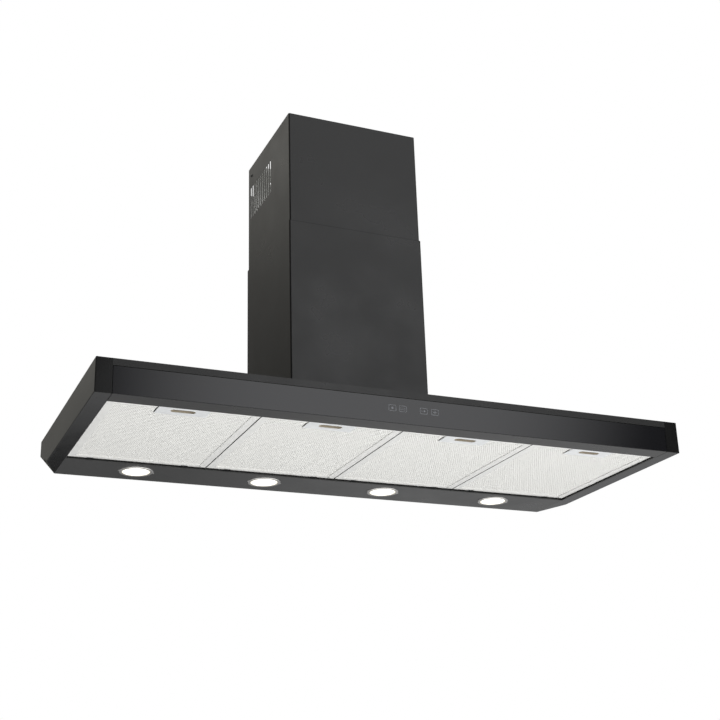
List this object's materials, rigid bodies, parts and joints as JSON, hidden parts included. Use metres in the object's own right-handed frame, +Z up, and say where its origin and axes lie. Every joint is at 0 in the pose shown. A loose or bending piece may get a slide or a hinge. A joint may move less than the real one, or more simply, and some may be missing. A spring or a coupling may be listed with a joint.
{
  "type": "wall chimney range hood",
  "caption": "Wide T-shaped wall chimney hood: shallow black canopy with glass control front, mesh grease filters, round lamps and a telescopic two-part chimney.",
  "frame": {"origin": "on the wall plane, in the middle of the width, at the height of the canopy's underside", "axes": "+X to the right as seen from the front, +Y into the wall, +Z up"},
  "size_m": [1.2, 0.52, 0.7835],
  "materials": {
    "black_steel": "semi-gloss black powder coat",
    "cap_gloss": "gloss black",
    "black_glass": "polished, painted black on the back",
    "foam_tape": "matt foam",
    "circuit_board": "solder mask",
    "filter_frame": "satin anodised",
    "filter_mesh": "bright expanded mesh",
    "latch_plate": "fine brushed",
    "spring_steel": "bright drawn",
    "lamp_bezel": "satin chrome",
    "lamp_lens": "frosted, lit",
    "lamp_housing": "die cast, satin",
    "zinc_steel": "galvanised",
    "grey_plastic": "moulded",
    "motor_paint": "satin",
    "box_plastic": "moulded, fine grain",
    "screw_steel": "zinc plated"
  },
  "bodies": {
    "canopy": {"back_panel": "black_steel", "blower_box": "zinc_steel", "cable_gland": "box_plastic", "canopy_top": "black_steel", "casing_left": "grey_plastic", "casing_right": "grey_plastic", "control_box": "box_plastic", "cover_screws": "screw_steel", "filter_hooks": "zinc_steel", "flap_pins": "spring_steel", "front_rail": "black_steel", "glass_panel": "black_glass", "glass_tape": "foam_tape", "lamp_1_bezel": "lamp_bezel", "lamp_1_housing": "lamp_housing", "lamp_1_lens": "lamp_lens", "lamp_2_bezel": "lamp_bezel", "lamp_2_housing": "lamp_housing", "lamp_2_lens": "lamp_lens", "lamp_3_bezel": "lamp_bezel", "lamp_3_housing": "lamp_housing", "lamp_3_lens": "lamp_lens", "lamp_4_bezel": "lamp_bezel", "lamp_4_housing": "lamp_housing", "lamp_4_lens": "lamp_lens", "lamp_clips": "spring_steel", "led_driver": "box_plastic", "left_end_cap": "cap_gloss", "left_side_panel": "black_steel", "light_panel": "black_steel", "lower_chimney": "black_steel", "motor": "motor_paint", "motor_bracket": "zinc_steel", "outlet_collar": "zinc_steel", "right_end_cap": "cap_gloss", "right_side_panel": "black_steel", "touch_board": "circuit_board"},
    "upper_chimney": {"upper_chimney": "black_steel", "wall_bracket": "zinc_steel", "bracket_screws": "screw_steel"},
    "impeller": {"impeller": "grey_plastic", "motor_shaft": "spring_steel"},
    "front_flap": {"front_flap": "grey_plastic"},
    "rear_flap": {"rear_flap": "grey_plastic"},
    "filter_1": {"filter_1_frame": "filter_frame", "filter_1_mesh": "filter_mesh", "latch_1_spring": "spring_steel"},
    "latch_1": {"latch_1": "latch_plate"},
    "filter_2": {"filter_2_frame": "filter_frame", "filter_2_mesh": "filter_mesh", "latch_2_spring": "spring_steel"},
    "latch_2": {"latch_2": "latch_plate"},
    "filter_3": {"filter_3_frame": "filter_frame", "filter_3_mesh": "filter_mesh", "latch_3_spring": "spring_steel"},
    "latch_3": {"latch_3": "latch_plate"},
    "filter_4": {"filter_4_frame": "filter_frame", "filter_4_mesh": "filter_mesh", "latch_4_spring": "spring_steel"},
    "latch_4": {"latch_4": "latch_plate"}
  },
  "joints": [
    {"name": "filter_1_hinge", "type": "hinge", "parent": "canopy", "child": "filter_1", "pos_m": [-0.426, -0.1195, 0.0085], "axis": [1, 0, 0], "range_deg": [0, 75]},
    {"name": "filter_2_hinge", "type": "hinge", "parent": "canopy", "child": "filter_2", "pos_m": [-0.142, -0.1195, 0.0085], "axis": [1, 0, 0], "range_deg": [0, 75]},
    {"name": "filter_3_hinge", "type": "hinge", "parent": "canopy", "child": "filter_3", "pos_m": [0.142, -0.1195, 0.0085], "axis": [1, 0, 0], "range_deg": [0, 75]},
    {"name": "filter_4_hinge", "type": "hinge", "parent": "canopy", "child": "filter_4", "pos_m": [0.426, -0.1195, 0.0085], "axis": [1, 0, 0], "range_deg": [0, 75]},
    {"name": "latch_1_slide", "type": "slide", "parent": "filter_1", "child": "latch_1", "axis": [0, 1, 0], "range_m": [0, 0.006], "stiffness_N_per_m": 400, "springref_m": -0.006, "deforming": ["latch_1_spring"]},
    {"name": "latch_2_slide", "type": "slide", "parent": "filter_2", "child": "latch_2", "axis": [0, 1, 0], "range_m": [0, 0.006], "stiffness_N_per_m": 400, "springref_m": -0.006, "deforming": ["latch_2_spring"]},
    {"name": "latch_3_slide", "type": "slide", "parent": "filter_3", "child": "latch_3", "axis": [0, 1, 0], "range_m": [0, 0.006], "stiffness_N_per_m": 400, "springref_m": -0.006, "deforming": ["latch_3_spring"]},
    {"name": "latch_4_slide", "type": "slide", "parent": "filter_4", "child": "latch_4", "axis": [0, 1, 0], "range_m": [0, 0.006], "stiffness_N_per_m": 400, "springref_m": -0.006, "deforming": ["latch_4_spring"]},
    {"name": "upper_chimney_slide", "type": "slide", "parent": "canopy", "child": "upper_chimney", "axis": [0, 0, 1], "range_m": [-0.22, 0.13]},
    {"name": "impeller_spin", "type": "hinge", "parent": "canopy", "child": "impeller", "pos_m": [0, -0.127, 0.19], "axis": [1, 0, 0], "continuous": true},
    {"name": "front_flap_hinge", "type": "hinge", "parent": "canopy", "child": "front_flap", "pos_m": [0, -0.1302, 0.349], "axis": [-1, 0, 0], "range_deg": [0, 80]},
    {"name": "rear_flap_hinge", "type": "hinge", "parent": "canopy", "child": "rear_flap", "pos_m": [0, -0.1238, 0.349], "axis": [1, 0, 0], "range_deg": [0, 80]}
  ]
}
